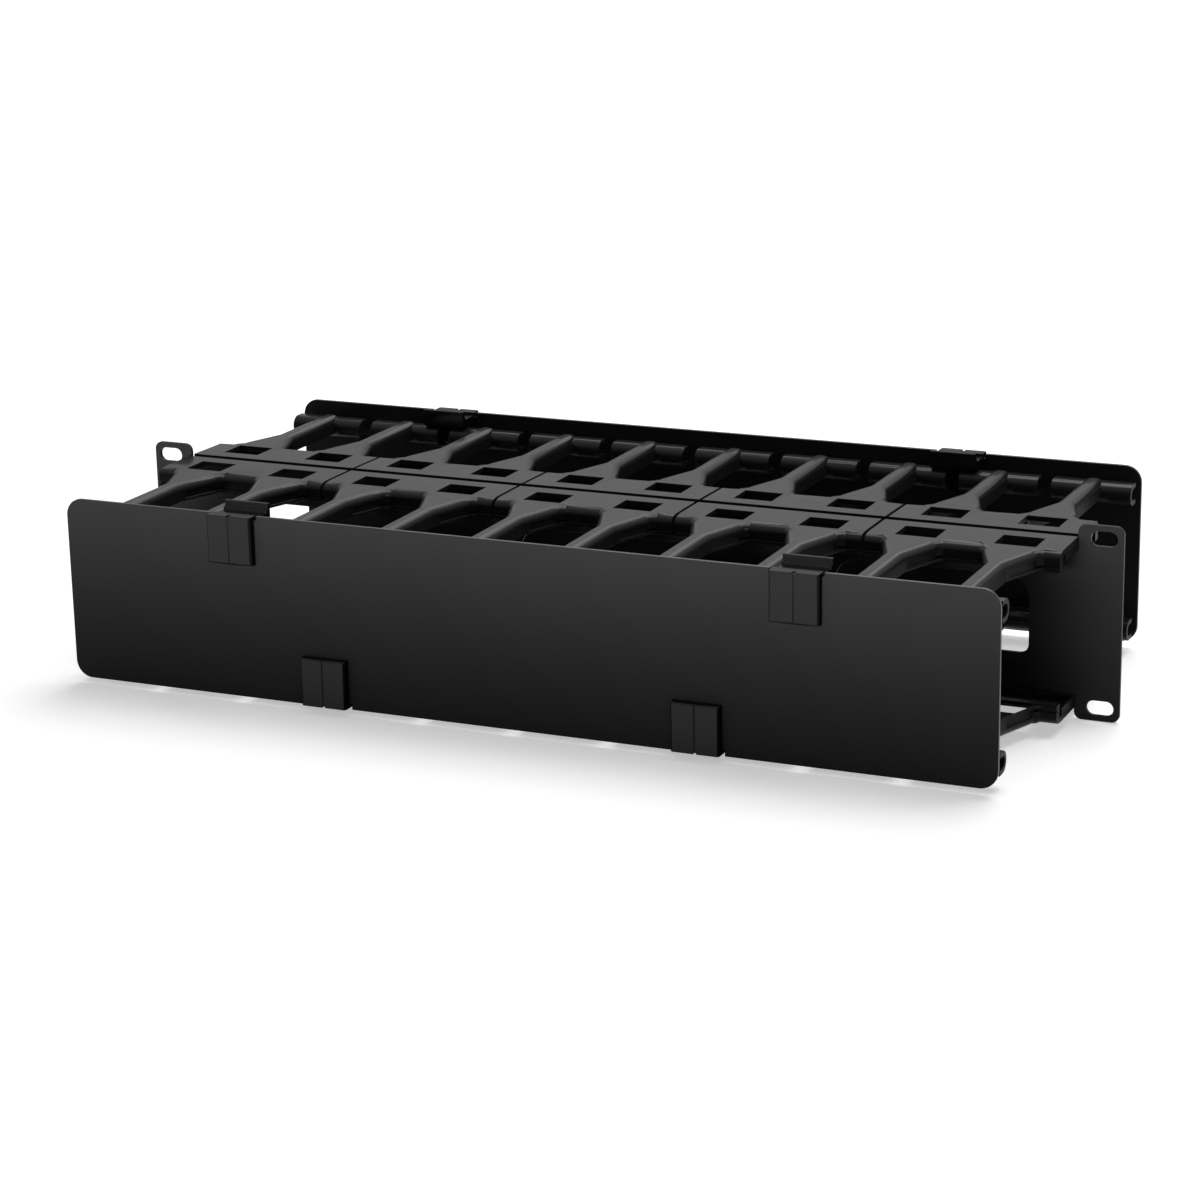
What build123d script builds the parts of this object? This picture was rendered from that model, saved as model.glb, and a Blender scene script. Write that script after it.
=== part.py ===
from build123d import *
import os

# Horizontal cable manager, two rack units high, with covered finger ducts front and rear.
# The origin is the middle of the rack panel's back face, which is drawn up against the rack rails.
# X runs along the panel, +Y points from the front duct to the rear duct and +Z is up.
# Every duct piece is drawn for the rear upper row, then turned into its place.

# Rack panel
panel_width = 482.6
panel_height = 88.1
panel_thickness = 2.0
ear_width = 20.3
web_height = 70.6
ear_corner_radius = 3.6
shoulder_radius = 0.8

# Rack slots, on the hole spacing of a two-unit panel
slot_spacing_x = 465.1
slot_spacing_z = 76.2
slot_length = 12.0
slot_height = 6.6

# Windows that pass cable from the front duct to the rear duct
window_count = 3
window_pitch = 155.0
window_width = 90.0
window_height = 35.0
window_lift = 1.0
window_top_radius = 11.0
window_bottom_radius = 4.0

# Duct depth, from the middle of the panel to the inside of a cover
duct_depth = 109.4

# Finger modules: one moulding, used twenty times
modules_per_row = 5
finger_pitch = 44.45
fingers_per_module = 2
module_gap = 1.5
plate_top = 38.7
plate_thickness = 2.4
plate_depth = 8.5
root_setback = 1.2
flange_drop = 3.5
flange_step = 1.5
root_flange_thickness = 2.4
end_flange_thickness = 1.3
end_flange_end_out = 21.8

# Rectangular opening in the root of each finger
root_hole_width = 18.4
root_hole_length = 15.2
root_hole_start = 10.1

# Rounded lip along the floor of each finger gap
lip_out = 30.3
lip_wall = 2.2
lip_end_depth = 4.8
lip_foot_drop = 0.8
lip_foot_height = 1.7
lip_foot_setback = 0.8
gap_corner_cut = 2.2

# Finger, from its wide root to its straight beam
root_half_width = 12.2
shoulder_half_width = 11.8
shoulder_out = 34.0
neck_out = 54.0
beam_half_width = 4.7
beam_setback = 7.9
finger_wall = 2.0
top_edge_radius = 3.6

# Groove around each finger gap, above the rim at its foot
rim_height = 1.2
lip_groove_height = 1.2
lip_groove_depth = 0.6
finger_groove_height = 3.4
finger_groove_depth = 0.8
finger_groove_start = 34.0
finger_groove_end = 51.0

# Cross bar at the tip of each finger, which the cover clips snap on
bar_length = 37.9
bar_radius = 4.9
bar_setback = 9.2
bar_axis_height = 32.4
bar_open_setback = 5.0
bar_wall = 2.2
bar_groove_height = 2.2
bar_groove_depth = 0.8
bar_groove_drop = 1.2
bar_groove_end = 1.6
bar_groove_root = 3.2

# Hooks that hold each module on the panel
hook_offset = 8.0
hook_width = 4.4
hook_height = 1.4
hook_nose = 1.4
hook_nose_drop = 0.9
hook_clearance = 0.3

# Covers
cover_width = 440.6
cover_height = 84.7
cover_lift = 1.4
cover_thickness = 2.0
cover_corner_radius = 8.0

# Cover clips
upper_clip_gaps = 3
lower_clip_gaps = 2
clip_width = 22.2
clip_height = 22.2
clip_plate_thickness = 4.0
clip_bridge_thickness = 2.0
clip_back_thickness = 2.4
clip_side_gap = 1.0
clip_reach = 12.8
clip_tab_thickness = 1.8
clip_rib_thickness = 1.4
clip_rib_height = 1.4
clip_jaw_lead = 1.6
clip_lip_reach = 4.5
clip_lip_thickness = 1.5
clip_lip_gap = 0.55
clip_groove_width = 0.5
clip_groove_depth = 0.25
clip_mark_width = 1.4
clip_mark_length = 2.6
clip_mark_depth = 0.6
upper_jaw_gap = 0.3
upper_clip_inset = 0.0
upper_arm_step = 1.45
upper_tab_height = 4.1
upper_tab_root = 2.8
lower_jaw_gap = 0.8
lower_clip_inset = 0.75
lower_arm_step = 0.0
lower_tab_height = 2.0
lower_tab_root = 1.0

# How far a cutting block runs past what it cuts, and how close two corners are that lie in line
overcut = 1.0
in_line = 0.01

# Worked out from the sizes above
panel_middle = -panel_thickness / 2
panel_half = panel_thickness / 2
module_length = fingers_per_module * finger_pitch
module_half = (module_length - module_gap) / 2
plate_edge_out = panel_half + root_setback
plate_bottom = plate_top - plate_thickness
module_bottom = plate_top - plate_depth
flange_bottom = plate_bottom - flange_drop
flange_out = panel_half + root_flange_thickness
groove_bottom = module_bottom + rim_height
hook_top = flange_bottom + hook_height
cover_outer_out = duct_depth + cover_thickness
bar_axis_out = duct_depth - bar_setback
bar_open_out = duct_depth - bar_open_setback
beam_end_out = duct_depth - beam_setback
clip_jaw_tip_out = duct_depth - clip_reach
clip_lip_out = duct_depth - clip_lip_reach
cover_top = cover_lift + cover_height / 2
cover_bottom = cover_lift - cover_height / 2
upper_clip_spacing = 2 * upper_clip_gaps * finger_pitch
lower_clip_spacing = 2 * lower_clip_gaps * finger_pitch
finger_centers = [(i - (fingers_per_module - 1) / 2) * finger_pitch for i in range(fingers_per_module)]
module_centers = [(i - (modules_per_row - 1) / 2) * module_length for i in range(modules_per_row)]
gap_centers = [(i - fingers_per_module / 2) * finger_pitch for i in range(fingers_per_module + 1)]


def block(x0, x1, y0, y1, z0, z1):
    """A block between two corners."""
    center = Pos((x0 + x1) / 2, (y0 + y1) / 2, (z0 + z1) / 2)
    return center * Box(x1 - x0, y1 - y0, z1 - z0)


def bar_from_section(face, x0, x1):
    """A section drawn in Y and Z, drawn out along X."""
    return extrude(Plane.YZ.offset(x0) * face, amount=x1 - x0)


def rack_panel():
    """The steel panel with its ears, rack slots, cable windows and hook slots."""
    half_width = panel_width / 2
    half_height = panel_height / 2
    web_half = web_height / 2
    shoulder_x = half_width - ear_width
    upper = [
        (shoulder_x, web_half),
        (shoulder_x, half_height),
        (half_width, half_height),
    ]
    outline = [(x, z) for x, z in upper] + [(x, -z) for x, z in reversed(upper)]
    outline += [(-x, -z) for x, z in upper] + [(-x, z) for x, z in reversed(upper)]
    sheet = make_face(Polyline(*outline, close=True))
    shoulders = sheet.vertices().filter_by(lambda v: abs(abs(v.Y) - web_half) < in_line)
    sheet = fillet(shoulders, shoulder_radius)
    corners = sheet.vertices().filter_by(lambda v: abs(abs(v.Y) - half_height) < in_line)
    sheet = fillet(corners, ear_corner_radius)
    rack_slot = SlotOverall(slot_length, slot_height)
    sheet -= GridLocations(slot_spacing_x, slot_spacing_z, 2, 2) * rack_slot
    window = Pos(0, window_lift) * Rectangle(window_width, window_height)
    window = fillet(window.vertices().group_by(Axis.Y)[-1], window_top_radius)
    window = fillet(window.vertices().group_by(Axis.Y)[0], window_bottom_radius)
    sheet -= GridLocations(window_pitch, 0, window_count, 1) * window
    slot_width = hook_width + 2 * hook_clearance
    slot_rise = hook_height + 2 * hook_clearance
    hook_slot = Rectangle(slot_width, slot_rise)
    hook_middle = (hook_top + flange_bottom) / 2
    for center in module_centers:
        for finger in finger_centers:
            middle = center + finger
            for side in (-hook_offset, hook_offset):
                for height in (-hook_middle, hook_middle):
                    sheet -= Pos(middle + side, height) * hook_slot
    return extrude(Plane.XZ * sheet, amount=panel_half, both=True)


def finger_half_width(out):
    """Half width of a finger at a distance from the middle of the panel."""
    if out < lip_out:
        return root_half_width
    if out < shoulder_out:
        share = (out - lip_out) / (shoulder_out - lip_out)
        return root_half_width + share * (shoulder_half_width - root_half_width)
    share = min((out - shoulder_out) / (neck_out - shoulder_out), 1)
    return shoulder_half_width + share * (beam_half_width - shoulder_half_width)


def finger_outline(inset, start, end):
    """Plan outline of one finger, pulled in by an inset."""
    right = [(finger_half_width(out) - inset, out) for out in (start, lip_out, shoulder_out, neck_out, end)]
    left = [(-x, y) for x, y in reversed(right)]
    return make_face(Polyline(*right, *left, close=True))


def gap_outline(reach, start, end):
    """Plan outline of the gap between two fingers, widened by a reach into both."""
    turns = [out for out in (lip_out, shoulder_out) if start < out < end]
    right = [(finger_pitch / 2 - finger_half_width(out) + reach, out) for out in (start, *turns, end)]
    left = [(-x, y) for x, y in reversed(right)]
    return make_face(Polyline(*right, *left, close=True))


def on_finger_gap(edge):
    """Tell whether a top edge lies on a finger gap, and not on the module's back, ends or tips."""
    middle = edge.center()
    on_back = middle.Y < plate_edge_out + in_line
    on_tip = middle.Y > beam_end_out - in_line
    on_end = abs(middle.X) > module_half - in_line
    return not (on_back or on_tip or on_end)


def module_shell():
    """Plate and fingers in one, with a rounded edge around every finger gap."""
    plate_length = lip_out - plate_edge_out
    plate_center = plate_edge_out + plate_length / 2
    plan = Pos(0, plate_center) * Rectangle(2 * module_half, plate_length)
    for finger in finger_centers:
        plan += Pos(finger, 0) * finger_outline(0, plate_center, beam_end_out)
    gap_corners = plan.vertices().filter_by(
        lambda v: abs(v.Y - lip_out) < in_line and abs(v.X) < module_half - in_line
    )
    plan = chamfer(gap_corners, gap_corner_cut)
    shell = extrude(Plane.XY.offset(module_bottom) * plan, plate_depth)
    top_edges = shell.faces().sort_by(Axis.Z)[-1].edges()
    return fillet(top_edges.filter_by(on_finger_gap), top_edge_radius)


def module_hollow():
    """The space under the plate and inside the fingers, open below and at the ends."""
    inner_half = module_half - end_flange_thickness
    wall_in = lip_out - lip_wall
    under_plate = block(-inner_half, inner_half, 0, wall_in, 0, plate_bottom)
    beyond = module_half + overcut
    end_out = lip_out - lip_end_depth
    below_flange = block(-beyond, beyond, 0, end_out, 0, flange_bottom)
    past_flange = block(-beyond, beyond, end_flange_end_out, end_out, 0, plate_bottom)
    hollow = under_plate + below_flange + past_flange
    tip = bar_axis_out - bar_radius - finger_wall
    for finger in finger_centers:
        plan = finger_outline(finger_wall, wall_in - finger_wall, tip)
        hollow += Pos(finger, 0, 0) * extrude(plan, plate_bottom)
    return hollow


def lip_foot():
    """The foot that the lip turns inwards along its lower edge."""
    bottom = module_bottom - lip_foot_drop
    return block(
        -module_half,
        module_half,
        lip_out - lip_end_depth,
        lip_out - lip_foot_setback,
        bottom,
        bottom + lip_foot_height,
    )


def gap_groove():
    """The groove around one finger gap, taller along the slope of each finger."""
    thin_plan = gap_outline(lip_groove_depth, lip_out - lip_groove_depth, finger_groove_end)
    tall_plan = gap_outline(finger_groove_depth, finger_groove_start, finger_groove_end)
    floor = Plane.XY.offset(groove_bottom)
    return extrude(floor * thin_plan, lip_groove_height) + extrude(floor * tall_plan, finger_groove_height)


def bar_section():
    """Hollow round-nosed section of the cross bar, open towards the cover."""
    inner_radius = bar_radius - bar_wall
    nose = ThreePointArc(
        (bar_axis_out, bar_axis_height + bar_radius),
        (bar_axis_out - bar_radius, bar_axis_height),
        (bar_axis_out, bar_axis_height - bar_radius),
    )
    cavity = ThreePointArc(
        (bar_axis_out, bar_axis_height - inner_radius),
        (bar_axis_out - inner_radius, bar_axis_height),
        (bar_axis_out, bar_axis_height + inner_radius),
    )
    lower = Polyline(
        nose @ 1,
        (bar_open_out, bar_axis_height - bar_radius),
        (bar_open_out, bar_axis_height - inner_radius),
        cavity @ 0,
    )
    upper = Polyline(
        cavity @ 1,
        (bar_open_out, bar_axis_height + inner_radius),
        (bar_open_out, bar_axis_height + bar_radius),
        nose @ 0,
    )
    return make_face([nose, lower, cavity, upper])


def cross_bar():
    """The bar at a finger's tip, with a groove in its nose on each side of the beam."""
    half = bar_length / 2
    bar = bar_from_section(bar_section(), -half, half)
    groove_top = bar_axis_height - bar_groove_drop + bar_groove_height / 2
    nose_out = bar_axis_out - bar_radius
    groove_start = beam_half_width + bar_groove_root
    for side in (-1, 1):
        ends = sorted((side * groove_start, side * (half - bar_groove_end)))
        bar -= block(
            ends[0],
            ends[1],
            nose_out - bar_radius,
            nose_out + bar_groove_depth,
            groove_top - bar_groove_height,
            groove_top,
        )
    return bar


def root_flange():
    """Flange down the panel's face, stepped below the plate's edge and notched for the opposite hooks."""
    step_top = plate_bottom - flange_step
    flange = block(-module_half, module_half, panel_half, flange_out, flange_bottom, step_top)
    flange += block(-module_half, module_half, plate_edge_out, flange_out, flange_bottom, plate_bottom)
    notch_half = hook_width / 2 + hook_clearance
    for finger in finger_centers:
        middle = finger - hook_offset
        flange -= block(
            middle - notch_half,
            middle + notch_half,
            panel_half,
            flange_out,
            flange_bottom,
            hook_top + hook_clearance,
        )
    return flange


def module_hook(middle):
    """Hook that reaches from the root flange through the panel."""
    x0 = middle + hook_offset - hook_width / 2
    x1 = middle + hook_offset + hook_width / 2
    nose_in = -panel_half - hook_clearance - hook_nose
    arm = block(x0, x1, nose_in, flange_out, flange_bottom, hook_top)
    nose = block(x0, x1, nose_in, nose_in + hook_nose, flange_bottom - hook_nose_drop, hook_top)
    return arm + nose


def finger_module():
    """One two-finger moulding, as it stands in the rear upper row."""
    body = module_shell() - module_hollow() + root_flange() + lip_foot()
    for gap in gap_centers:
        body -= Pos(gap, 0, 0) * gap_groove()
    for finger in finger_centers:
        hole_x = root_hole_width / 2
        body -= block(
            finger - hole_x,
            finger + hole_x,
            root_hole_start,
            root_hole_start + root_hole_length,
            module_bottom,
            plate_top + plate_thickness,
        )
        body += Pos(finger, 0, 0) * cross_bar()
        body += module_hook(finger)
    return body


def cover():
    """Flat cover sheet with a notch in its edge for each clip."""
    sheet = Pos(0, cover_lift) * RectangleRounded(cover_width, cover_height, cover_corner_radius)
    notch_width = clip_width + 2 * clip_side_gap
    notches = (
        (upper_clip_spacing, cover_top, upper_clip_inset),
        (lower_clip_spacing, cover_bottom, lower_clip_inset),
    )
    for spacing, edge, inset in notches:
        depth = inset + clip_bridge_thickness
        for x in (-spacing / 2, spacing / 2):
            sheet -= Pos(x, edge) * Rectangle(notch_width, 2 * depth)
    flat = extrude(Plane.XZ * sheet, amount=-cover_thickness)
    return Pos(0, duct_depth, 0) * flat


def clip(edge, inset, arm_step, jaw_gap, tab_height, tab_root):
    """One cover clip about the bar's axis, with the cover's edge above it."""
    plate_end = edge - inset
    plate_start = plate_end - clip_height
    arm_top = plate_end - arm_step
    jaw = bar_radius + jaw_gap
    tab_top = arm_top + tab_height
    tab_out = clip_jaw_tip_out + clip_tab_thickness
    rib_out = tab_out + clip_rib_thickness
    rib_top = arm_top + clip_rib_height
    back_out = duct_depth - clip_back_thickness
    lip_top = -bar_radius - clip_lip_gap
    lip_bottom = lip_top - clip_lip_thickness
    face_out = cover_outer_out + clip_plate_thickness
    bridge = plate_end - clip_bridge_thickness
    outline = [
        (clip_jaw_tip_out, tab_top),
        (clip_jaw_tip_out, jaw + tab_root),
        (clip_jaw_tip_out + clip_jaw_lead, jaw),
        (back_out, jaw),
        (back_out, lip_top),
        (clip_lip_out, lip_top),
        (clip_lip_out, lip_bottom),
        (duct_depth, lip_bottom),
        (duct_depth, bridge),
        (cover_outer_out, bridge),
        (cover_outer_out, plate_start),
        (face_out, plate_start),
        (face_out, plate_end),
        (duct_depth, plate_end),
        (duct_depth, arm_top),
        (rib_out, arm_top),
        (rib_out, rib_top),
        (tab_out, rib_top),
        (tab_out, tab_top),
    ]
    corners = [point for i, point in enumerate(outline) if point != outline[i - 1]]
    section = make_face(Polyline(*corners, close=True))
    body = bar_from_section(section, -clip_width / 2, clip_width / 2)
    groove_x = clip_groove_width / 2
    body -= block(
        -groove_x,
        groove_x,
        face_out - clip_groove_depth,
        face_out + overcut,
        plate_start - overcut,
        plate_end + overcut,
    )
    mark_x = clip_mark_width / 2
    body -= block(
        -mark_x,
        mark_x,
        face_out - clip_mark_length,
        face_out + overcut,
        plate_end - clip_mark_depth,
        plate_end + overcut,
    )
    return body


def upper_clip():
    """Clip for the cover's upper edge."""
    shape = clip(
        cover_top - bar_axis_height,
        upper_clip_inset,
        upper_arm_step,
        upper_jaw_gap,
        upper_tab_height,
        upper_tab_root,
    )
    return Pos(0, 0, bar_axis_height) * shape


def lower_clip():
    """Clip for the cover's lower edge, turned over."""
    shape = clip(
        -cover_bottom - bar_axis_height,
        lower_clip_inset,
        lower_arm_step,
        lower_jaw_gap,
        lower_tab_height,
        lower_tab_root,
    )
    return mirror(Pos(0, 0, bar_axis_height) * shape, Plane.XY)


def placed(shape, front, turned_over):
    """A rear upper shape turned to its duct and row, about the middle of the panel."""
    if turned_over:
        shape = Rot(180, 0, 0) * shape
    if front != turned_over:
        shape = Rot(0, 0, 180) * shape
    return Pos(0, panel_middle, 0) * shape


def save(shape, name):
    """Write one piece to its own file."""
    export_step(shape, os.path.join("parts", name + ".step"))


os.makedirs("parts", exist_ok=True)

save(Pos(0, panel_middle, 0) * rack_panel(), "rack_panel")

module = finger_module()
for duct in ("front", "rear"):
    for row in ("top", "bottom"):
        base = placed(module, duct == "front", row == "bottom")
        for number, center in enumerate(module_centers, 1):
            save(Pos(center, 0, 0) * base, duct + "_" + row + "_fingers_" + str(number))

cover_shape = cover()
upper_shape = upper_clip()
lower_shape = lower_clip()
for duct in ("front", "rear"):
    in_front = duct == "front"
    save(placed(cover_shape, in_front, False), duct + "_cover")
    edges = (("top", upper_shape, upper_clip_spacing), ("bottom", lower_shape, lower_clip_spacing))
    for edge_name, shape, spacing in edges:
        turned = placed(shape, in_front, False)
        for side_name, side in (("left", -1), ("right", 1)):
            name = duct + "_" + edge_name + "_" + side_name + "_clip"
            save(Pos(side * spacing / 2, 0, 0) * turned, name)
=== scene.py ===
import logging
import math
from collections.abc import Sequence
from dataclasses import dataclass, replace
from enum import Enum

import bmesh
import bpy
from mathutils import Matrix, Vector


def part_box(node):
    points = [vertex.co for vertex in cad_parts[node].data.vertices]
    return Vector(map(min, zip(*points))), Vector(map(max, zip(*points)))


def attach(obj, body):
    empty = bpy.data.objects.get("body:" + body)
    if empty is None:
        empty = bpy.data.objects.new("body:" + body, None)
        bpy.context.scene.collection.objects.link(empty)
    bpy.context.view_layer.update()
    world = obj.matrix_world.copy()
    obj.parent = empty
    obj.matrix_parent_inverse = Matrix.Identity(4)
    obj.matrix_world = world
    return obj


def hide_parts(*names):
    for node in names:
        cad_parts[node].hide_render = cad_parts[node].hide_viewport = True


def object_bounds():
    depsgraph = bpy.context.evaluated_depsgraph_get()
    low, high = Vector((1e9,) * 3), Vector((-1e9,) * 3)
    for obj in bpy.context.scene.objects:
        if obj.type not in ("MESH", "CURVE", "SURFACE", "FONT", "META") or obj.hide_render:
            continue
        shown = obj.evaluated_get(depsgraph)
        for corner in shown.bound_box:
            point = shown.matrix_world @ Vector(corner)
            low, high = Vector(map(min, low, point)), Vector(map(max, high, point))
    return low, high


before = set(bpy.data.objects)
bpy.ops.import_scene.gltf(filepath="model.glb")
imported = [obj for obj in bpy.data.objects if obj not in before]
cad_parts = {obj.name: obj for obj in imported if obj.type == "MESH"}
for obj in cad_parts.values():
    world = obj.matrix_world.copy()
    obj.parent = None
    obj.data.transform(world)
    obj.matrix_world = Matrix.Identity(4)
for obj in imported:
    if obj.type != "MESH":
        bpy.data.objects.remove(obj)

CAD_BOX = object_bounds()
NODES: dict[str, bpy.types.Object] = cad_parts

log = logging.getLogger("cable_manager")


class Duct(Enum):
    """The two cable ducts, one on each face of the panel."""

    FRONT = "front"
    REAR = "rear"


class Row(Enum):
    """The two rows of fingers of a duct."""

    TOP = "top"
    BOTTOM = "bottom"


class Side(Enum):
    """The two sides of a cover, seen from the front."""

    LEFT = "left"
    RIGHT = "right"


# ---- shared shader effects

FINE_GRAIN_DETAIL = 2.0
CLOUD_DETAIL = 4.0
SPECK_DETAIL = 3.0
NOISE_MIDDLE = 0.5
# Surfaces that face down lose the painted sheen, which paints shade under the clips.
UNDERSIDE_START = -0.05  # upright part of the normal where a surface begins to count as an underside
UNDERSIDE_END = -0.4  # and where it counts in full


def new_group(name: str, inputs: dict[str, float], outputs: dict[str, str]) -> bpy.types.NodeTree:
    """Start a shader node group with named sockets.

    Args:
        name: Name of the group.
        inputs: Name and default of each number that goes in.
        outputs: Name and socket type of each value that comes out.

    Returns:
        The empty node tree with its group input and output nodes.
    """
    tree = bpy.data.node_groups.new(name, "ShaderNodeTree")
    for label, value in inputs.items():
        socket = tree.interface.new_socket(name=label, in_out="INPUT", socket_type="NodeSocketFloat")
        socket.default_value = value
    for label, kind in outputs.items():
        tree.interface.new_socket(name=label, in_out="OUTPUT", socket_type=kind)
    tree.nodes.new("NodeGroupInput")
    tree.nodes.new("NodeGroupOutput")
    return tree


def group_ends(tree: bpy.types.NodeTree) -> tuple[bpy.types.Node, bpy.types.Node]:
    """Find a group's input and output nodes.

    Args:
        tree: The group's node tree.

    Returns:
        The input node and the output node.
    """
    start = next(node for node in tree.nodes if node.type == "GROUP_INPUT")
    end = next(node for node in tree.nodes if node.type == "GROUP_OUTPUT")
    return start, end


def math_node(
    tree: bpy.types.NodeTree,
    operation: str,
    first: bpy.types.NodeSocket | float,
    second: bpy.types.NodeSocket | float = 0.0,
) -> bpy.types.NodeSocket:
    """Add a math node.

    Args:
        tree: The node tree it goes in.
        operation: Blender's name of the operation.
        first: A socket or a number.
        second: A socket or a number. An operation on one value leaves it out.

    Returns:
        The node's output socket.
    """
    node = tree.nodes.new("ShaderNodeMath")
    node.operation = operation
    for socket, value in zip(node.inputs, (first, second)):
        if isinstance(value, bpy.types.NodeSocket):
            tree.links.new(value, socket)
        else:
            socket.default_value = value
    return node.outputs[0]


def surface_grain_group() -> bpy.types.NodeTree:
    """Build the fine texture of a spark-eroded mould or a powder coat, as a height.

    Returns:
        The node group, with a Height output.
    """
    tree = new_group(
        "surface_grain",
        {"Fine Scale": 3000.0, "Coarse Scale": 700.0, "Coarse Share": 0.4},
        {"Height": "NodeSocketFloat"},
    )
    start, end = group_ends(tree)
    place = tree.nodes.new("ShaderNodeTexCoord")
    fine = tree.nodes.new("ShaderNodeTexNoise")
    fine.inputs["Detail"].default_value = FINE_GRAIN_DETAIL
    coarse = tree.nodes.new("ShaderNodeTexVoronoi")
    coarse.feature = "SMOOTH_F1"
    tree.links.new(place.outputs["Object"], fine.inputs["Vector"])
    tree.links.new(place.outputs["Object"], coarse.inputs["Vector"])
    tree.links.new(start.outputs["Fine Scale"], fine.inputs["Scale"])
    tree.links.new(start.outputs["Coarse Scale"], coarse.inputs["Scale"])
    bumps = math_node(tree, "MULTIPLY", coarse.outputs["Distance"], start.outputs["Coarse Share"])
    height = math_node(tree, "ADD", fine.outputs["Fac"], bumps)
    tree.links.new(height, end.inputs["Height"])
    return tree


def tone_drift_group() -> bpy.types.NodeTree:
    """Build slow changes of tone and gloss over a moulded or coated surface.

    Returns:
        The node group, with a Tone output about 1 and a Gloss output about 0.
    """
    tree = new_group(
        "tone_drift",
        {"Cloud Scale": 18.0, "Speck Scale": 220.0, "Tone Amount": 0.12, "Gloss Amount": 0.06},
        {"Tone": "NodeSocketFloat", "Gloss": "NodeSocketFloat"},
    )
    start, end = group_ends(tree)
    place = tree.nodes.new("ShaderNodeTexCoord")
    cloud = tree.nodes.new("ShaderNodeTexNoise")
    cloud.inputs["Detail"].default_value = CLOUD_DETAIL
    speck = tree.nodes.new("ShaderNodeTexNoise")
    speck.inputs["Detail"].default_value = SPECK_DETAIL
    for texture, scale in ((cloud, "Cloud Scale"), (speck, "Speck Scale")):
        tree.links.new(place.outputs["Object"], texture.inputs["Vector"])
        tree.links.new(start.outputs[scale], texture.inputs["Scale"])
    cloud_centred = math_node(tree, "SUBTRACT", cloud.outputs["Fac"], NOISE_MIDDLE)
    speck_centred = math_node(tree, "SUBTRACT", speck.outputs["Fac"], NOISE_MIDDLE)
    tone = math_node(tree, "MULTIPLY", cloud_centred, start.outputs["Tone Amount"])
    tone = math_node(tree, "ADD", tone, 1.0)
    blend = math_node(tree, "ADD", cloud_centred, speck_centred)
    gloss = math_node(tree, "MULTIPLY", blend, start.outputs["Gloss Amount"])
    tree.links.new(tone, end.inputs["Tone"])
    tree.links.new(gloss, end.inputs["Gloss"])
    return tree


def facing_mask_group() -> bpy.types.NodeTree:
    """Build a mask of the surfaces that face along an axis of the object, or away from it.

    The mask sets the coat that paints a highlight on the surfaces facing the axis. The surfaces that face
    down lose the share of the mask that the underside input says, a painted shade under them.

    Returns:
        The node group, with a Mask output.
    """
    tree = new_group(
        "facing_mask",
        {
            "Axis X": 0.0,
            "Axis Y": 0.0,
            "Axis Z": 1.0,
            "Start": 0.5,
            "End": 1.0,
            "Amount": 1.0,
            "Underside Shade": 0.0,
        },
        {"Mask": "NodeSocketFloat"},
    )
    start, end = group_ends(tree)
    place = tree.nodes.new("ShaderNodeTexCoord")
    axis = tree.nodes.new("ShaderNodeCombineXYZ")
    for letter in "XYZ":
        tree.links.new(start.outputs["Axis " + letter], axis.inputs[letter])
    along = tree.nodes.new("ShaderNodeVectorMath")
    along.operation = "DOT_PRODUCT"
    tree.links.new(place.outputs["Normal"], along.inputs[0])
    tree.links.new(axis.outputs["Vector"], along.inputs[1])
    size = math_node(tree, "ABSOLUTE", along.outputs["Value"])
    ramp = tree.nodes.new("ShaderNodeMapRange")
    ramp.interpolation_type = "SMOOTHSTEP"
    tree.links.new(size, ramp.inputs["Value"])
    tree.links.new(start.outputs["Start"], ramp.inputs["From Min"])
    tree.links.new(start.outputs["End"], ramp.inputs["From Max"])
    tree.links.new(start.outputs["Amount"], ramp.inputs["To Max"])
    parts = tree.nodes.new("ShaderNodeSeparateXYZ")
    tree.links.new(place.outputs["Normal"], parts.inputs["Vector"])
    underside = tree.nodes.new("ShaderNodeMapRange")
    underside.interpolation_type = "SMOOTHSTEP"
    underside.inputs["From Min"].default_value = UNDERSIDE_START
    underside.inputs["From Max"].default_value = UNDERSIDE_END
    tree.links.new(parts.outputs["Z"], underside.inputs["Value"])
    lost = math_node(tree, "MULTIPLY", underside.outputs["Result"], start.outputs["Underside Shade"])
    kept = math_node(tree, "SUBTRACT", 1.0, lost)
    tree.links.new(math_node(tree, "MULTIPLY", ramp.outputs["Result"], kept), end.inputs["Mask"])
    return tree


@dataclass(frozen=True)
class Effects:
    """The node groups that the finishes share."""

    grain: bpy.types.NodeTree
    drift: bpy.types.NodeTree
    facing: bpy.types.NodeTree


@dataclass(frozen=True)
class PaintedSheen:
    """A painted sheen: a glossy coat on the surfaces that face a chosen way, a painted highlight on them.

    The painted coat grows from none at start to the full amount at end. Both are cosines of the angle
    between the surface's normal and the axis. Undersides lose the share that the underside setting says, a
    painted shade under them.
    """

    axis: tuple[float, float, float]
    start: float
    end: float
    amount: float
    roughness: float
    underside_shade: float = 0.0


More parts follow.
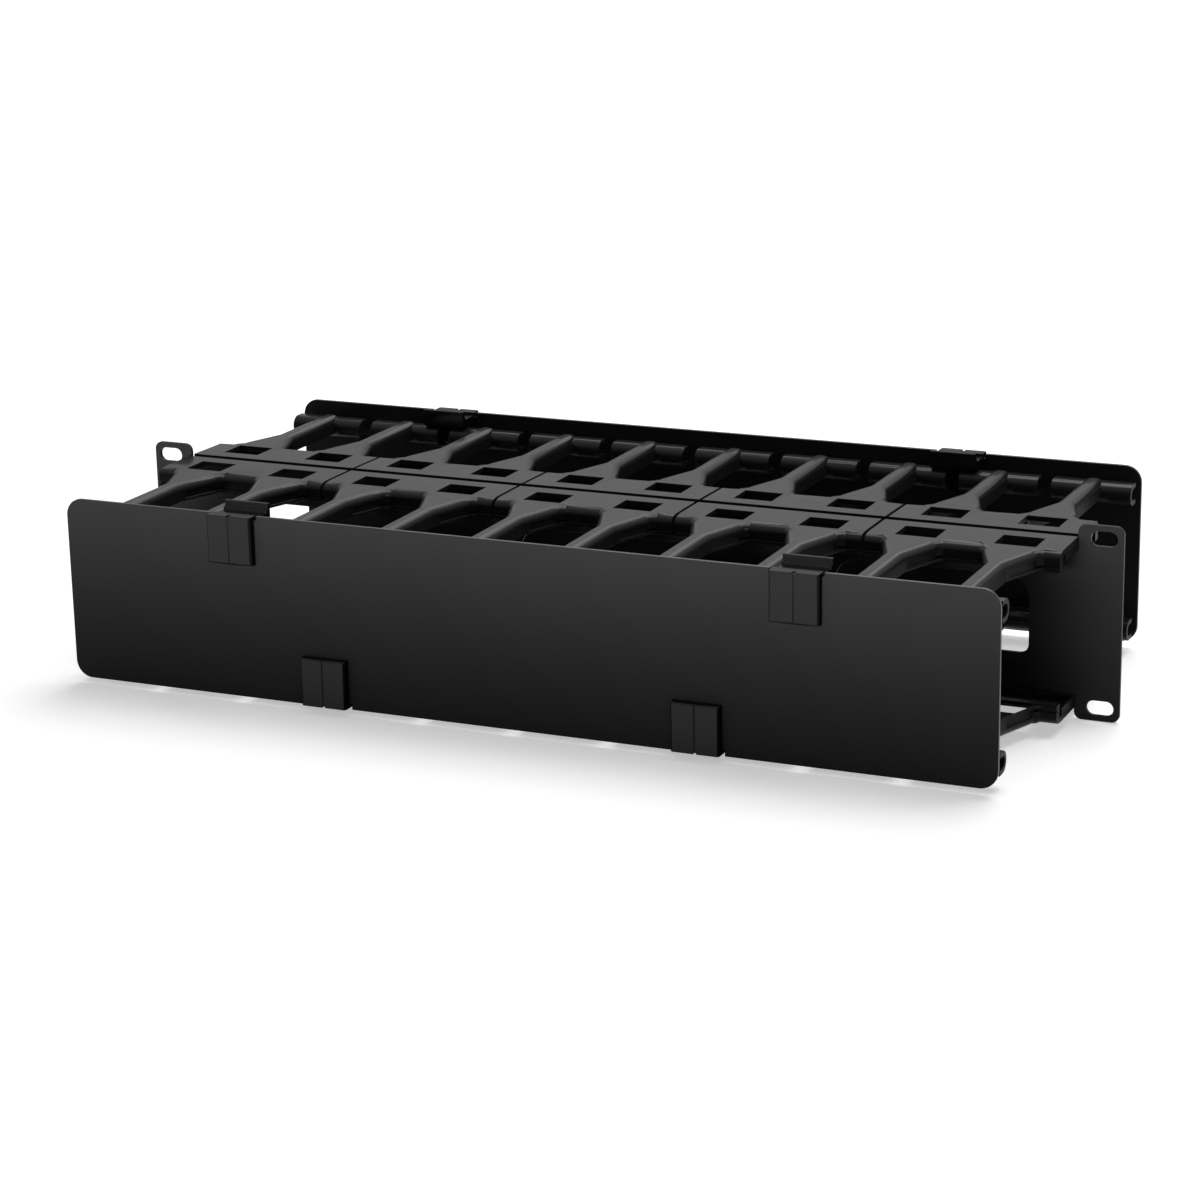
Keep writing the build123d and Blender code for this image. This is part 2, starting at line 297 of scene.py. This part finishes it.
@dataclass(frozen=True)
class BlackFinish:
    """A black surface with a fine grain, either moulded plastic or powder coat."""

    name: str
    color: tuple[float, float, float]
    roughness: float
    specular: float
    fine_scale: float
    coarse_scale: float
    coarse_share: float
    grain_depth: float
    tone_amount: float
    gloss_amount: float
    painted_sheen: PaintedSheen

    def material(self, effects: Effects) -> bpy.types.Material:
        """Build the finish's material.

        Args:
            effects: The shared node groups.

        Returns:
            The material.
        """
        material = bpy.data.materials.new(self.name)
        material.use_nodes = True
        tree = material.node_tree
        shader = tree.nodes["Principled BSDF"]
        shader.inputs["Specular IOR Level"].default_value = self.specular
        shader.inputs["Coat Roughness"].default_value = self.painted_sheen.roughness
        # The coat weight follows the facing mask: a painted highlight by the way each surface faces, and
        # painted shade underneath where set.
        facing = tree.nodes.new("ShaderNodeGroup")
        facing.node_tree = effects.facing
        for letter, value in zip("XYZ", self.painted_sheen.axis):
            facing.inputs["Axis " + letter].default_value = value
        facing.inputs["Start"].default_value = self.painted_sheen.start
        facing.inputs["End"].default_value = self.painted_sheen.end
        facing.inputs["Amount"].default_value = self.painted_sheen.amount
        facing.inputs["Underside Shade"].default_value = self.painted_sheen.underside_shade
        tree.links.new(facing.outputs["Mask"], shader.inputs["Coat Weight"])
        drift = tree.nodes.new("ShaderNodeGroup")
        drift.node_tree = effects.drift
        drift.inputs["Tone Amount"].default_value = self.tone_amount
        drift.inputs["Gloss Amount"].default_value = self.gloss_amount
        tint = tree.nodes.new("ShaderNodeVectorMath")
        tint.operation = "SCALE"
        tint.inputs[0].default_value = self.color
        tree.links.new(drift.outputs["Tone"], tint.inputs["Scale"])
        tree.links.new(tint.outputs[0], shader.inputs["Base Color"])
        rough = math_node(tree, "ADD", drift.outputs["Gloss"], self.roughness)
        tree.links.new(rough, shader.inputs["Roughness"])
        grain = tree.nodes.new("ShaderNodeGroup")
        grain.node_tree = effects.grain
        grain.inputs["Fine Scale"].default_value = self.fine_scale
        grain.inputs["Coarse Scale"].default_value = self.coarse_scale
        grain.inputs["Coarse Share"].default_value = self.coarse_share
        bump = tree.nodes.new("ShaderNodeBump")
        bump.inputs["Distance"].default_value = self.grain_depth
        tree.links.new(grain.outputs["Height"], bump.inputs["Height"])
        tree.links.new(bump.outputs["Normal"], shader.inputs["Normal"])
        return material


# ---- the finishes

# The sheet's sheen is painted: the coat lies on the edges that face away from Y, a painted highlight along
# them.
STEEL = BlackFinish(
    name="black_powder_coat",
    color=(0.012, 0.012, 0.0125),
    roughness=0.46,
    specular=0.06,
    fine_scale=2600.0,
    coarse_scale=900.0,
    coarse_share=0.5,
    grain_depth=0.00003,
    tone_amount=0.2,
    gloss_amount=0.05,
    painted_sheen=PaintedSheen(axis=(0.0, 1.0, 0.0), start=0.9, end=0.4, amount=0.7, roughness=0.3),
)
# The panel keeps a weaker painted highlight on its edges.
PANEL_STEEL = replace(
    STEEL, name="black_panel_coat", color=(0.0105, 0.0105, 0.011), painted_sheen=replace(STEEL.painted_sheen, amount=0.15)
)
# The plastic's sheen is painted: the coat lies on the surfaces that face up, a painted highlight on flats
# and rounded tops that leaves the sides darker.
MODULE_PLASTIC = BlackFinish(
    name="black_moulded_plastic",
    color=(0.01, 0.01, 0.0105),
    roughness=0.42,
    specular=0.06,
    fine_scale=3200.0,
    coarse_scale=1300.0,
    coarse_share=0.3,
    grain_depth=0.00002,
    tone_amount=0.25,
    gloss_amount=0.08,
    painted_sheen=PaintedSheen(axis=(0.0, 0.0, 1.0), start=0.25, end=0.75, amount=0.36, roughness=0.1),
)
# The clip's sheen is painted: no coat on sides that face along X or on undersides, a painted shade on its
# sides and lower edge, and a painted highlight on the rest.
CLIP_PLASTIC = BlackFinish(
    name="black_clip_plastic",
    color=(0.0045, 0.0045, 0.0048),
    roughness=0.4,
    specular=0.0,
    fine_scale=3200.0,
    coarse_scale=1300.0,
    coarse_share=0.3,
    grain_depth=0.00002,
    tone_amount=0.2,
    gloss_amount=0.05,
    painted_sheen=PaintedSheen(axis=(1.0, 0.0, 0.0), start=0.5, end=0.15, amount=0.47, roughness=0.26, underside_shade=1.0),
)


# ---- mesh helpers


def outer_edges(shape: bmesh.types.BMesh, near: float = 1e-5) -> set[bmesh.types.BMEdge]:
    """Find the edges round the face that is farthest from the panel.

    Args:
        shape: The mesh that is searched.
        near: How close a point lies to a side of the box that it is on.

    Returns:
        The edges that lie on that face's side of the piece's box, and on a side next to it.
    """
    lows = [min(vert.co[axis] for vert in shape.verts) for axis in range(3)]
    highs = [max(vert.co[axis] for vert in shape.verts) for axis in range(3)]
    face_y = max(lows[1], highs[1], key=abs)

    def on(edge: bmesh.types.BMEdge, axis: int, place: float) -> bool:
        """Tell whether both ends of an edge lie at a place along an axis."""
        return all(abs(vert.co[axis] - place) < near for vert in edge.verts)

    front = [edge for edge in shape.edges if on(edge, 1, face_y)]
    sides = [(axis, limits[axis]) for axis in (0, 2) for limits in (lows, highs)]
    return {edge for edge in front if any(on(edge, axis, place) for axis, place in sides)}


@dataclass(frozen=True)
class EdgeRound:
    """How far the sharp edges of a piece are rounded: all of them, or the outline of its face alone."""

    width: float = 0.0003
    segments: int = 2
    angle: float = math.radians(28.0)
    outline: bool = False

    def apply(self, shape: bmesh.types.BMesh) -> None:
        """Round the edges that are sharper than the angle.

        Args:
            shape: The mesh whose edges are rounded.
        """
        sharp = [e for e in shape.edges if len(e.link_faces) == 2 and e.calc_face_angle(0.0) > self.angle]
        if self.outline:
            outer = outer_edges(shape)
            sharp = [edge for edge in sharp if edge in outer]
        bmesh.ops.bevel(
            shape,
            geom=sharp,
            offset=self.width,
            offset_type="OFFSET",
            segments=self.segments,
            profile=0.5,
            affect="EDGES",
            clamp_overlap=False,
            material=-1,
            loop_slide=True,
        )


def eased(share: float) -> float:
    """Limit a share to 0 and 1, with soft ends."""
    share = min(max(share, 0.0), 1.0)
    return share * share * (3.0 - 2.0 * share)


@dataclass(frozen=True)
class RolledLip:
    """The step down to the rolled lip in each gap between two fingers.

    The gaps repeat along X at the pitch. The step goes down from start to end, which are distances
    from the panel's middle plane, and fades out near the fingers. Below the rim, and farther out than
    the reach, it has no effect.
    """

    pitch: float = 0.04445
    middle_y: float = -0.001
    half_gap: float = 0.0096
    fade: float = 0.0011
    start: float = 0.0243
    end: float = 0.0268
    reach: float = 0.034
    drop: float = 0.0004
    rim_low: float = 0.0351
    rim_high: float = 0.0366
    rim_slack: float = 0.0001
    cut_distance: float = 1e-6

    def out(self, vert: bmesh.types.BMVert) -> float:
        """Measure how far a point is from the panel's middle plane."""
        return abs(vert.co.y - self.middle_y)

    def touches(self, face: bmesh.types.BMFace) -> bool:
        """Tell whether a face lies above the rim, and has a point within the reach."""
        high = min(abs(vert.co.z) for vert in face.verts) > self.rim_low - self.rim_slack
        return high and min(self.out(vert) for vert in face.verts) < self.reach

    def cut(self, shape: bmesh.types.BMesh) -> None:
        """Cut the outer faces along the lines where the step bends.

        Args:
            shape: The module's mesh.
        """
        low = min(vert.co.x for vert in shape.verts) - self.half_gap
        high = max(vert.co.x for vert in shape.verts) + self.half_gap
        front = min(vert.co.y for vert in shape.verts) < self.middle_y
        planes = [("y", self.middle_y + (-out if front else out)) for out in (self.start, self.end)]
        for number in range(math.ceil(low / self.pitch), math.floor(high / self.pitch) + 1):
            for half in (self.half_gap, self.half_gap - self.fade):
                planes += [("x", number * self.pitch - half), ("x", number * self.pitch + half)]
        for letter, place in planes:
            normal = Vector((letter == "x", letter == "y", 0.0))
            faces = [face for face in shape.faces if self.touches(face)]
            edges = dict.fromkeys(edge for face in faces for edge in face.edges)
            verts = dict.fromkeys(vert for face in faces for vert in face.verts)
            bmesh.ops.bisect_plane(
                shape,
                geom=[*verts, *edges, *faces],
                dist=self.cut_distance,
                plane_co=normal * place,
                plane_no=normal,
            )

    def lower(self, shape: bmesh.types.BMesh) -> None:
        """Move the lip's points down.

        Args:
            shape: The module's mesh, with the cuts made.
        """
        for vert in shape.verts:
            if self.out(vert) > self.reach:
                continue
            across = abs(vert.co.x - self.pitch * round(vert.co.x / self.pitch))
            share = eased((self.out(vert) - self.start) / (self.end - self.start))
            share *= eased((self.half_gap - across) / self.fade)
            share *= eased((abs(vert.co.z) - self.rim_low) / (self.rim_high - self.rim_low))
            vert.co.z -= math.copysign(share * self.drop, vert.co.z)


def merged_copy(
    node: str,
    lip: RolledLip | None = None,
    flat_angle: float = math.radians(0.5),
    join_distance: float = 2e-6,
) -> bmesh.types.BMesh:
    """Copy a CAD node's mesh, join its loose triangles and clear the flat faces.

    Args:
        node: Name of the CAD node.
        lip: The step of its rolled lips, where it has any.
        flat_angle: Faces closer to one plane than this become one face.
        join_distance: Points closer than this become one point.

    Returns:
        A new bmesh, in the place of the node.
    """
    shape = bmesh.new()
    shape.from_mesh(NODES[node].data)
    bmesh.ops.remove_doubles(shape, verts=shape.verts, dist=join_distance)
    if lip:
        lip.cut(shape)
        lip.lower(shape)
    bmesh.ops.dissolve_limit(
        shape,
        angle_limit=flat_angle,
        use_dissolve_boundaries=False,
        verts=shape.verts,
        edges=shape.edges,
        delimit=set(),
    )
    return shape


def keep_in_box(shape: bmesh.types.BMesh, low: Sequence[float], high: Sequence[float]) -> None:
    """Move back any point that a rounded edge has pushed out of the piece's box.

    Args:
        shape: The mesh that is kept in.
        low: The box's lowest corner.
        high: The box's highest corner.
    """
    for vert in shape.verts:
        vert.co = Vector(min(max(c, a), b) for c, a, b in zip(vert.co, low, high))


def finished_piece(
    shape: bmesh.types.BMesh,
    name: str,
    body: str,
    material: bpy.types.Material,
    smooth_angle: float = math.radians(40.0),
) -> bpy.types.Object:
    """Turn a finished bmesh into a piece that rides on its body.

    Args:
        shape: The mesh, with its place in it. It is freed.
        name: Name of the new piece.
        body: The CAD body that carries it.
        material: The piece's finish.
        smooth_angle: Edges sharper than this stay sharp in the shading.

    Returns:
        The new object.
    """
    mesh = bpy.data.meshes.new(name)
    shape.to_mesh(mesh)
    shape.free()
    mesh.polygons.foreach_set("use_smooth", [True] * len(mesh.polygons))
    mesh.set_sharp_from_angle(angle=smooth_angle)
    mesh.materials.append(material)
    piece = bpy.data.objects.new(name, mesh)
    bpy.context.scene.collection.objects.link(piece)
    weighted = piece.modifiers.new("flat_faces_stay_flat", "WEIGHTED_NORMAL")
    weighted.keep_sharp = True
    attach(piece, body)
    return piece


def dressed_node(
    node: str,
    body: str,
    material: bpy.types.Material,
    roundings: tuple[EdgeRound, ...],
    lip: RolledLip | None = None,
    shortest_edge: float = 0.0,
) -> bpy.types.Object:
    """Stand a copy with rounded edges in the place of a CAD node.

    Args:
        node: Name of the CAD node.
        body: The CAD body that carries it.
        material: The piece's finish.
        roundings: How its edges are rounded, in order.
        lip: The step of its rolled lips, where it has any.
        shortest_edge: Edges that the roundings leave shorter than this are closed up.

    Returns:
        The new object.
    """
    shape = merged_copy(node, lip)
    for rounding in roundings:
        rounding.apply(shape)
    keep_in_box(shape, *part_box(node))
    if shortest_edge:
        bmesh.ops.dissolve_degenerate(shape, dist=shortest_edge, edges=shape.edges)
    piece = finished_piece(shape, node + "_moulded", body, material)
    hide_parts(node)
    log.info("%s: %d faces", piece.name, len(piece.data.polygons))
    return piece


# ---- sub-assemblies


@dataclass
class RackPanel:
    """The steel panel with its ears, slots and windows."""

    finish: BlackFinish
    roundings: tuple[EdgeRound, ...] = (EdgeRound(width=0.00025),)
    body: str = "frame"
    slot: str = "panel_steel"

    def build(self, effects: Effects) -> list[bpy.types.Object]:
        """Build the panel.

        Args:
            effects: The shared node groups.

        Returns:
            The pieces made.
        """
        material = self.finish.material(effects)
        return [dressed_node("rack_panel", self.body, material, self.roundings)]


@dataclass
class FingerRows:
    """The twenty finger modules, in four rows of five."""

    finish: BlackFinish
    per_row: int = 5
    roundings: tuple[EdgeRound, ...] = (EdgeRound(width=0.0002),)
    lip: RolledLip = RolledLip()
    shortest_edge: float = 0.000005
    body: str = "frame"
    slot: str = "finger_plastic"

    def build(self, effects: Effects) -> list[bpy.types.Object]:
        """Build every module.

        Args:
            effects: The shared node groups.

        Returns:
            The pieces made.
        """
        material = self.finish.material(effects)
        pieces = []
        for duct in Duct:
            for row in Row:
                for number in range(1, self.per_row + 1):
                    node = f"{duct.value}_{row.value}_fingers_{number}"
                    piece = dressed_node(
                        node, self.body, material, self.roundings, self.lip, self.shortest_edge
                    )
                    pieces.append(piece)
        return pieces


@dataclass
class SwingCover:
    """A cover sheet and its four clips."""

    duct: Duct
    sheet_finish: BlackFinish
    clip_finish: BlackFinish
    sheet_roundings: tuple[EdgeRound, ...] = (EdgeRound(width=0.0004),)
    clip_roundings: tuple[EdgeRound, ...] = (
        EdgeRound(width=0.0013, segments=5, outline=True),
        EdgeRound(width=0.0002, angle=math.radians(50.0)),
    )

    @property
    def body(self) -> str:
        """Name of the body that the cover swings with."""
        return f"{self.duct.value}_door"

    def build(self, effects: Effects) -> list[bpy.types.Object]:
        """Build the cover and its clips.

        Args:
            effects: The shared node groups.

        Returns:
            The pieces made.
        """
        sheet = self.sheet_finish.material(effects)
        clip = self.clip_finish.material(effects)
        node = f"{self.duct.value}_cover"
        pieces = [dressed_node(node, self.body, sheet, self.sheet_roundings)]
        for row in Row:
            for side in Side:
                node = f"{self.duct.value}_{row.value}_{side.value}_clip"
                pieces.append(dressed_node(node, self.body, clip, self.clip_roundings))
        return pieces


# ---- studio

WHITE = (1.0, 1.0, 1.0, 1.0)


@dataclass(frozen=True)
class SoftLamp:
    """A flat soft lamp: its size, its place and where it points, in metres, and its power in watts.

    A lamp that isn't reflected shows in no highlight. A lamp with receivers lights those pieces alone,
    as a flagged strip light does in a studio.
    """

    name: str
    place: tuple[float, float, float]
    target: tuple[float, float, float]
    length: float
    width: float
    power: float
    spread: float = math.radians(180.0)
    reflected: bool = True
    receivers: tuple[str, ...] = ()


OVERHEAD = SoftLamp("overhead_softbox", (0.3, 0.6, 1.7), (0.0, 0.0, 0.0), 1.6, 1.2, 24.0)
BACK = SoftLamp("back_softbox", (-0.3, 1.65, 1.2), (0.0, 0.0, 0.0), 1.5, 0.8, 5.5)
FRONT_STRIP = SoftLamp(
    "front_strip",
    (-0.08, -0.56, 0.125),
    (-0.08, 0.0, 0.125),
    length=1.4,
    width=0.08,
    power=4.2,
    spread=math.radians(38.5),
    reflected=False,
    receivers=("front_cover", "panel"),
)
REAR_STRIP = replace(
    FRONT_STRIP,
    name="rear_strip",
    place=(0.08, 0.56, 0.125),
    target=(0.08, 0.0, 0.125),
    receivers=("rear_cover", "panel"),
)


@dataclass(frozen=True)
class Studio:
    """A plain pale floor, soft lamps and the camera.

    The floor glows a little of itself, from near_lift round the object to far_lift at a distance, so that
    it meets the white wall without an edge. The camera alone sees that glow, directly or in a reflection.
    """

    floor_height: float
    floor_color: float = 0.92
    floor_roughness: float = 0.9
    near_lift: float = 0.46
    far_lift: float = 1.0
    lift_start: float = 0.5
    lift_end: float = 2.4
    wall_light: float = 0.6
    room_light: float = 0.18
    lamps: tuple[SoftLamp, ...] = (OVERHEAD, BACK, FRONT_STRIP, REAR_STRIP)
    floor_size: float = 12.0
    azimuth: float = math.radians(24.2548)
    elevation: float = math.radians(16.0986)
    roll: float = math.radians(-1.08307)
    camera_place: tuple[float, float, float] = (0.563720, -1.263900, 0.386662)
    lens: float = 93.3486
    sensor: float = 36.0

    def camera(self) -> bpy.types.Object:
        """Place the camera at the photograph's angle.

        Returns:
            The camera.
        """
        a, e = self.azimuth, self.elevation
        back = Vector((math.sin(a) * math.cos(e), -math.cos(a) * math.cos(e), math.sin(e)))
        right = Vector((math.cos(a), math.sin(a), 0.0))
        up = back.cross(right)
        turned_right = math.cos(self.roll) * right + math.sin(self.roll) * up
        turned_up = math.cos(self.roll) * up - math.sin(self.roll) * right
        data = bpy.data.cameras.new("photo_camera")
        data.lens = self.lens
        data.sensor_width = self.sensor
        camera = bpy.data.objects.new("photo_camera", data)
        turn = Matrix((turned_right, turned_up, back)).transposed()
        camera.matrix_world = Matrix.Translation(self.camera_place) @ turn.to_4x4()
        bpy.context.scene.collection.objects.link(camera)
        bpy.context.scene.camera = camera
        return camera

    def floor(self) -> bpy.types.Object:
        """Lay the pale floor under the object.

        Returns:
            The floor.
        """
        shape = bmesh.new()
        bmesh.ops.create_grid(shape, x_segments=1, y_segments=1, size=self.floor_size / 2)
        bmesh.ops.translate(shape, verts=shape.verts, vec=(0.0, 0.0, self.floor_height))
        mesh = bpy.data.meshes.new("studio_floor")
        shape.to_mesh(mesh)
        shape.free()
        material = bpy.data.materials.new("pale_floor")
        material.use_nodes = True
        tree = material.node_tree
        shader = tree.nodes["Principled BSDF"]
        shader.inputs["Base Color"].default_value = (self.floor_color,) * 3 + (1.0,)
        shader.inputs["Roughness"].default_value = self.floor_roughness
        shader.inputs["Specular IOR Level"].default_value = 0.0
        shader.inputs["Emission Color"].default_value = WHITE
        place = tree.nodes.new("ShaderNodeTexCoord")
        distance = tree.nodes.new("ShaderNodeVectorMath")
        distance.operation = "LENGTH"
        tree.links.new(place.outputs["Object"], distance.inputs[0])
        lift = tree.nodes.new("ShaderNodeMapRange")
        lift.interpolation_type = "SMOOTHSTEP"
        lift.inputs["From Min"].default_value = self.lift_start
        lift.inputs["From Max"].default_value = self.lift_end
        lift.inputs["To Min"].default_value = self.near_lift
        lift.inputs["To Max"].default_value = self.far_lift
        tree.links.new(distance.outputs["Value"], lift.inputs["Value"])
        glow = math_node(tree, "MULTIPLY", self.seen_directly(tree), lift.outputs["Result"])
        tree.links.new(glow, shader.inputs["Emission Strength"])
        mesh.materials.append(material)
        floor = bpy.data.objects.new("studio_floor", mesh)
        bpy.context.scene.collection.objects.link(floor)
        return floor

    def seen_directly(self, tree: bpy.types.NodeTree) -> bpy.types.NodeSocket:
        """Tell camera, mirror and glass rays from the rest.

        Args:
            tree: The node tree that asks.

        Returns:
            A socket that is 1 on such rays and 0 on others.
        """
        path = tree.nodes.new("ShaderNodeLightPath")
        seen = math_node(tree, "MAXIMUM", path.outputs["Is Camera Ray"], path.outputs["Is Transmission Ray"])
        return math_node(tree, "MAXIMUM", seen, path.outputs["Is Glossy Ray"])

    def lamp(self, spec: SoftLamp, groups: dict[str, list[bpy.types.Object]]) -> bpy.types.Object:
        """Hang a soft lamp.

        Args:
            spec: The lamp's size, place and power.
            groups: The finished pieces of each sub-assembly.

        Returns:
            The lamp.
        """
        data = bpy.data.lights.new(spec.name, "AREA")
        data.shape = "RECTANGLE"
        data.size = spec.length
        data.size_y = spec.width
        data.energy = spec.power
        data.spread = spec.spread
        lamp = bpy.data.objects.new(spec.name, data)
        lamp.visible_camera = False
        lamp.visible_glossy = spec.reflected
        direction = Vector(spec.target) - Vector(spec.place)
        lamp.location = spec.place
        lamp.rotation_euler = direction.to_track_quat("-Z", "Y").to_euler()
        bpy.context.scene.collection.objects.link(lamp)
        if spec.receivers:
            receivers = bpy.data.collections.new(spec.name + "_receivers")
            for group in spec.receivers:
                for piece in groups[group]:
                    receivers.objects.link(piece)
            lamp.light_linking.receiver_collection = receivers
        return lamp

    def world(self) -> None:
        """Give the room a pale wall and a soft even light."""
        world = bpy.data.worlds.new("studio")
        bpy.context.scene.world = world
        world.use_nodes = True
        tree = world.node_tree
        shader = tree.nodes["Background"]
        seen = self.seen_directly(tree)
        strength = tree.nodes.new("ShaderNodeMapRange")
        strength.inputs["To Min"].default_value = self.room_light
        strength.inputs["To Max"].default_value = self.wall_light
        tree.links.new(seen, strength.inputs["Value"])
        tree.links.new(strength.outputs["Result"], shader.inputs["Strength"])
        shader.inputs["Color"].default_value = WHITE

    def build(self, groups: dict[str, list[bpy.types.Object]]) -> None:
        """Set up the room, its lamps and the camera.

        Args:
            groups: The finished pieces of each sub-assembly.
        """
        self.world()
        self.floor()
        for spec in self.lamps:
            self.lamp(spec, groups)
        self.camera()
        bpy.context.scene.view_settings.view_transform = "Standard"


def main() -> None:
    """Build the object and its studio, piece by piece."""
    logging.basicConfig(level=logging.INFO, format="%(message)s")
    effects = Effects(grain=surface_grain_group(), drift=tone_drift_group(), facing=facing_mask_group())
    groups = {
        "panel": RackPanel(PANEL_STEEL).build(effects),
        "fingers": FingerRows(MODULE_PLASTIC).build(effects),
    }
    for duct in Duct:
        groups[f"{duct.value}_cover"] = SwingCover(duct, STEEL, CLIP_PLASTIC).build(effects)
    Studio(floor_height=CAD_BOX[0][2]).build(groups)
    log.info("%d pieces", sum(len(pieces) for pieces in groups.values()))


if __name__ == "__main__":
    main()
